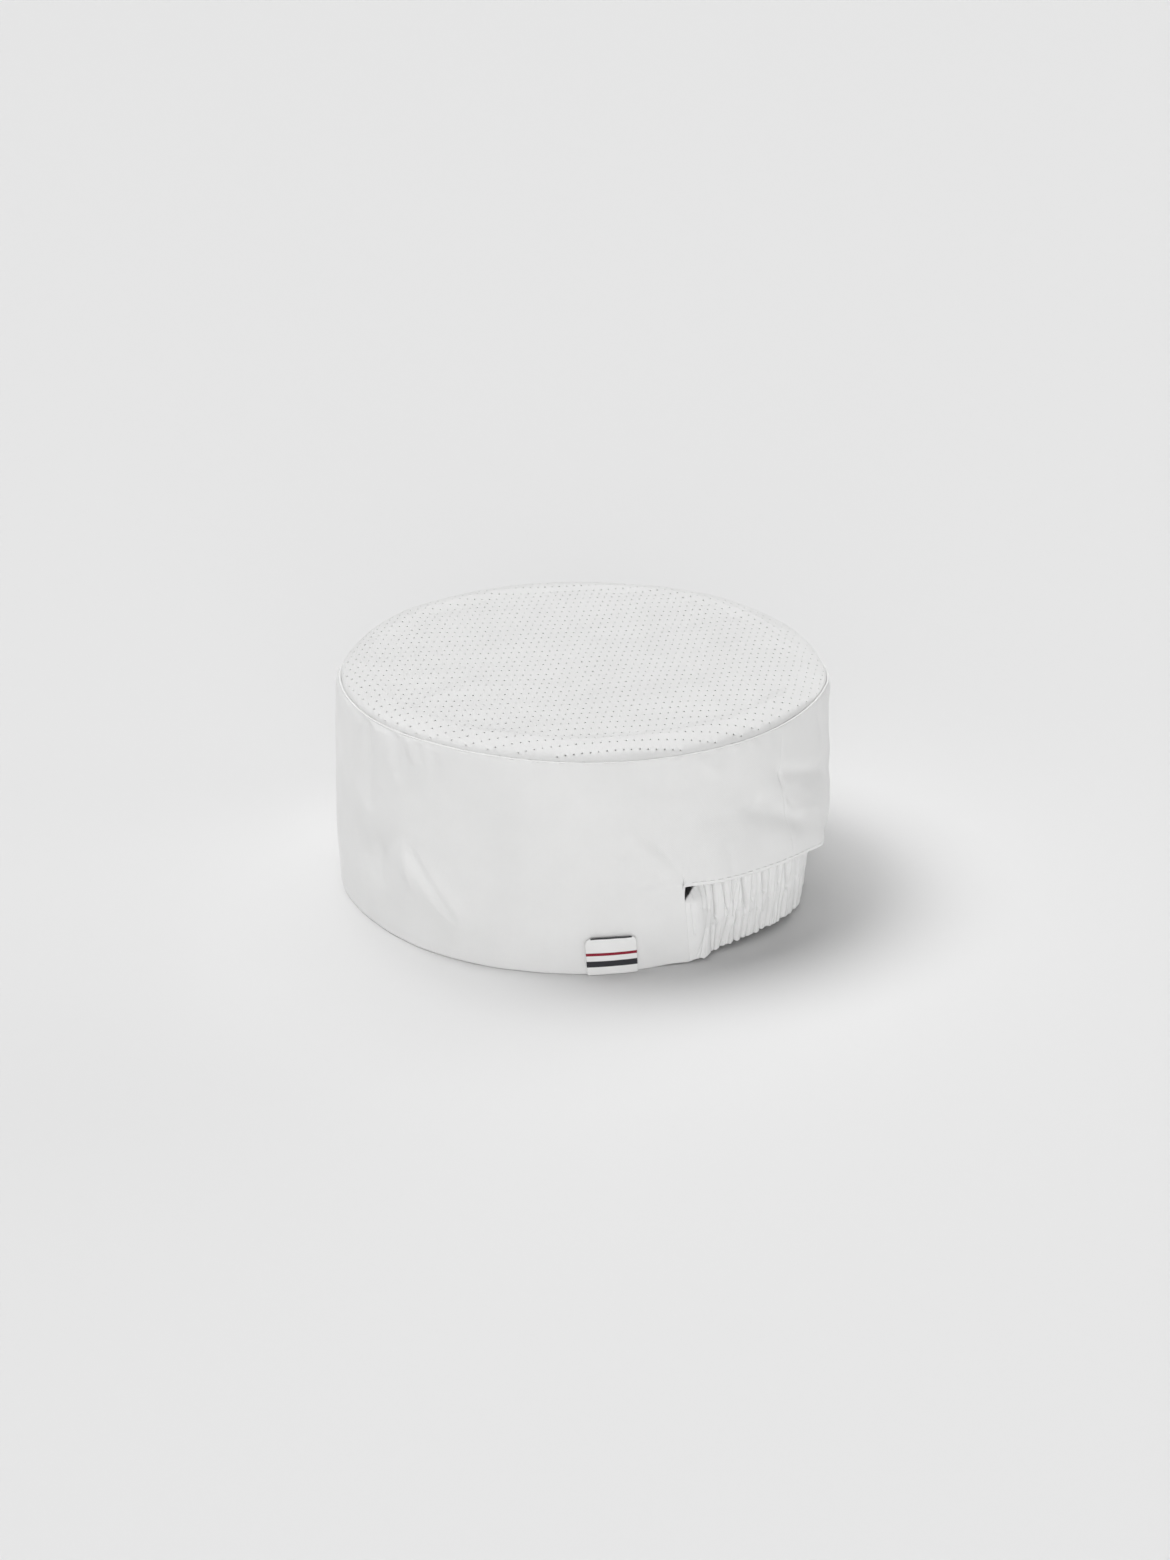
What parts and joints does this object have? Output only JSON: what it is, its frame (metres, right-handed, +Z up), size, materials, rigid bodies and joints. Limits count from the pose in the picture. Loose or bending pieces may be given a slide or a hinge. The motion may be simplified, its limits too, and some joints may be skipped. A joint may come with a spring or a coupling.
{
  "type": "mesh-topped cook's skull cap",
  "caption": "White flat-topped skull cap with a pin-holed mesh crown, a plain cloth band and a gathered elastic strip at the back.",
  "frame": {"origin": "middle of the cap's bounding box on the surface that its lower edge stands on", "axes": "+Z up through the crown, +Y towards the back of the head, where the elastic strip is"},
  "size_m": [0.1921, 0.1962, 0.0878],
  "materials": {
    "band_cloth": "matt plain-woven white poly-cotton",
    "crown_net": "soft white pin-holed knit",
    "gathered_cloth": "matt white poly-cotton gathered on elastic",
    "woven_tape": "smooth white woven tape"
  },
  "bodies": {
    "root": {"side_band": "band_cloth", "crown_mesh": "crown_net", "elastic_strip": "gathered_cloth", "edge_label": "woven_tape"}
  },
  "joints": []
}
